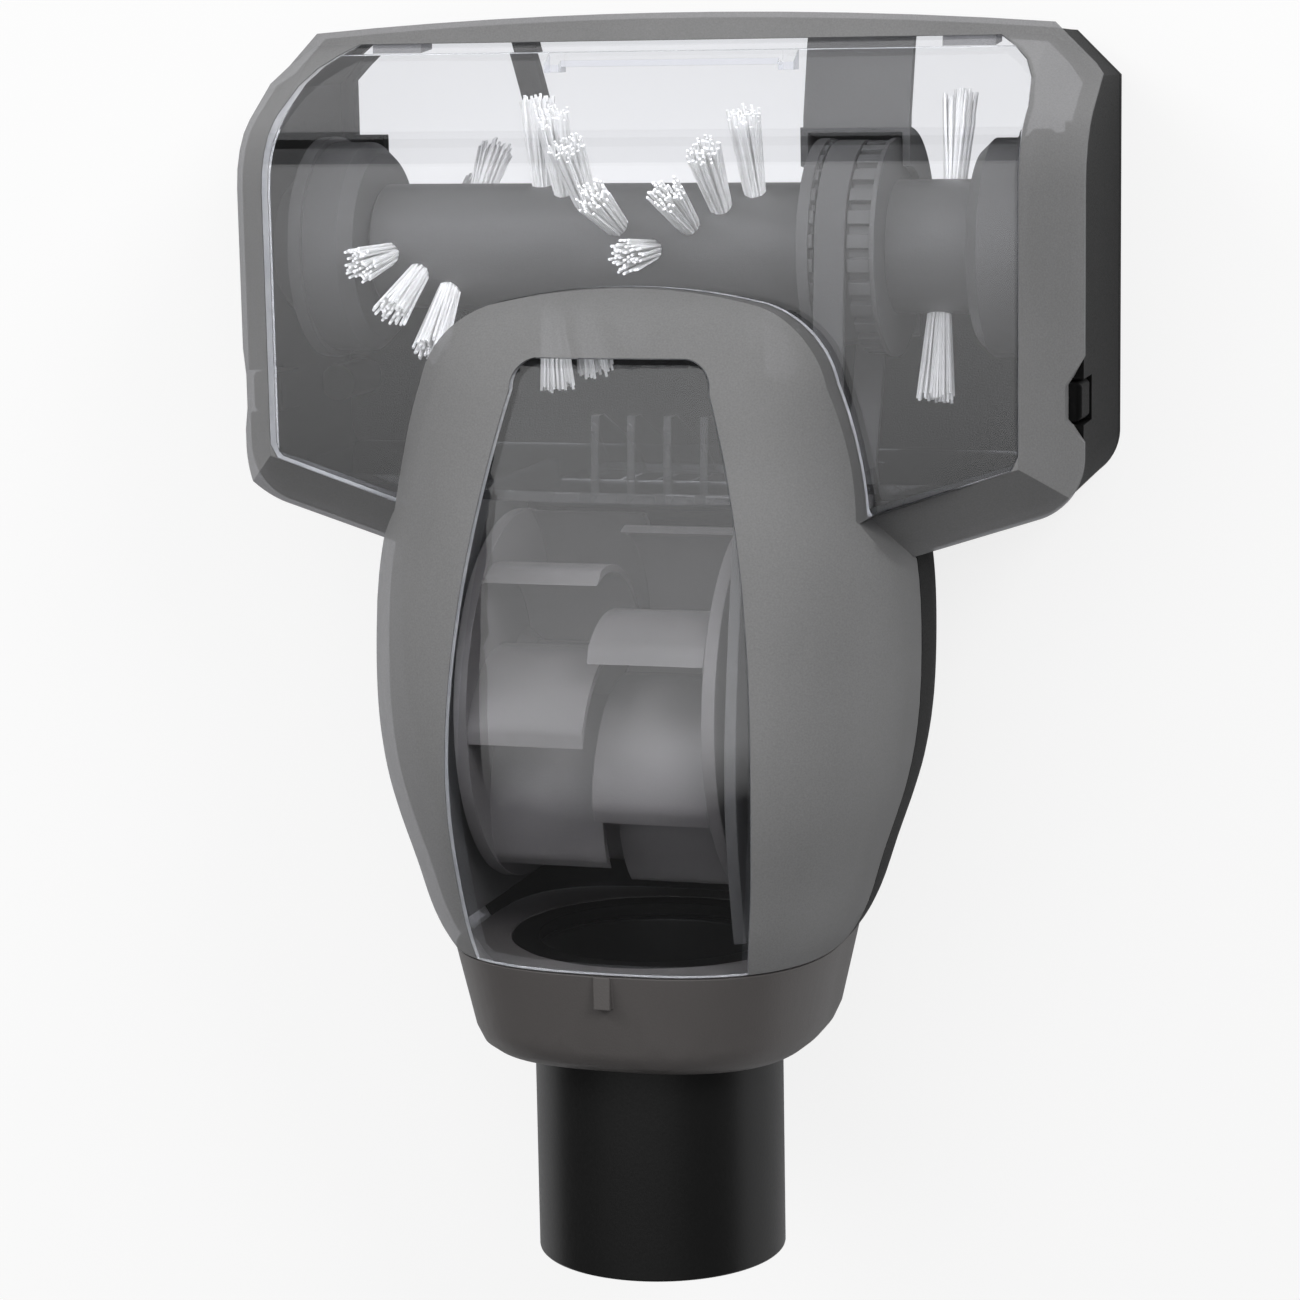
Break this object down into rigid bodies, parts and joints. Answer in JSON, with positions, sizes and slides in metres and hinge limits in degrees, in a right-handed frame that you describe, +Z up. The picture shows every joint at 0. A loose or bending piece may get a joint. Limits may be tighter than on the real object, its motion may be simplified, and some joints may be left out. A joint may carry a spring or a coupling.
{
  "type": "vacuum cleaner turbo brush",
  "caption": "Air-driven upholstery brush head with a clear-topped roller chamber, an inner turbine wheel, a belt drive and a swivelling neck tube.",
  "frame": {"origin": "on the sole plane, straight below the middle of the roller axis", "axes": "+Z up from the sole, +Y towards the front of the brush head, -Y along the neck tube, +X to the belt side"},
  "size_m": [0.1306, 0.1874, 0.0734],
  "materials": {
    "smoked_frame": "satin smoked moulding",
    "clear_pane": "polished clear moulding",
    "black_base": "fine spark texture",
    "charcoal_collar": "satin",
    "black_tube": "satin",
    "grey_inner": "satin",
    "turbine_grey": "satin",
    "white_bristle": "nylon bristle",
    "belt_rubber": "matt",
    "bronze_bush": "sintered",
    "steel_shaft": "ground"
  },
  "bodies": {
    "housing": {"lower_housing": "black_base", "sole_plate": "black_base", "collar": "charcoal_collar", "neck_ring": "black_base", "nozzle_wall": "clear_pane", "belt_guard": "black_base", "drive_belt": "belt_rubber", "sole_screws": "steel_shaft", "left_bearing_holder": "grey_inner", "right_bearing_holder": "grey_inner", "left_roller_bush": "bronze_bush", "right_roller_bush": "bronze_bush", "left_turbine_carrier": "grey_inner", "right_turbine_carrier": "grey_inner", "left_turbine_bush": "bronze_bush", "right_turbine_bush": "bronze_bush"},
    "cover": {"top_frame": "smoked_frame", "head_window": "clear_pane", "turbine_window": "clear_pane"},
    "roller": {"roller_core": "grey_inner", "roller_end": "grey_inner", "roller_pulley": "grey_inner", "roller_shaft": "steel_shaft", "front_tufts": "white_bristle", "back_tufts": "white_bristle", "end_tufts": "white_bristle"},
    "turbine": {"left_turbine_wheel": "turbine_grey", "right_turbine_wheel": "turbine_grey", "turbine_shaft": "steel_shaft", "turbine_pinion": "grey_inner"},
    "neck": {"neck_tube": "black_tube"},
    "left_catch": {"left_latch": "black_base"},
    "right_catch": {"right_latch": "black_base"}
  },
  "joints": [
    {"name": "roller_spin", "type": "hinge", "parent": "housing", "child": "roller", "pos_m": [0, 0, 0.0235], "axis": [1, 0, 0], "continuous": true},
    {"name": "turbine_spin", "type": "hinge", "parent": "housing", "child": "turbine", "pos_m": [0, -0.0668, 0.0395], "axis": [1, 0, 0], "continuous": true},
    {"name": "neck_swivel", "type": "hinge", "parent": "housing", "child": "neck", "pos_m": [0, -0.106, 0.041], "axis": [0, 1, 0], "continuous": true},
    {"name": "cover_hinge", "type": "hinge", "parent": "housing", "child": "cover", "pos_m": [0, 0.03515, 0.022], "axis": [-1, 0, 0], "range_deg": [0, 60]},
    {"name": "left_catch_slide", "type": "slide", "parent": "housing", "child": "left_catch", "axis": [1, 0, 0], "range_m": [0, 0.002], "stiffness_N_per_m": 400},
    {"name": "right_catch_slide", "type": "slide", "parent": "housing", "child": "right_catch", "axis": [-1, 0, 0], "range_m": [0, 0.002], "stiffness_N_per_m": 400}
  ],
  "couplings": [
    {"joint": "roller_spin", "follows": "turbine_spin", "ratio": 0.35714}
  ]
}
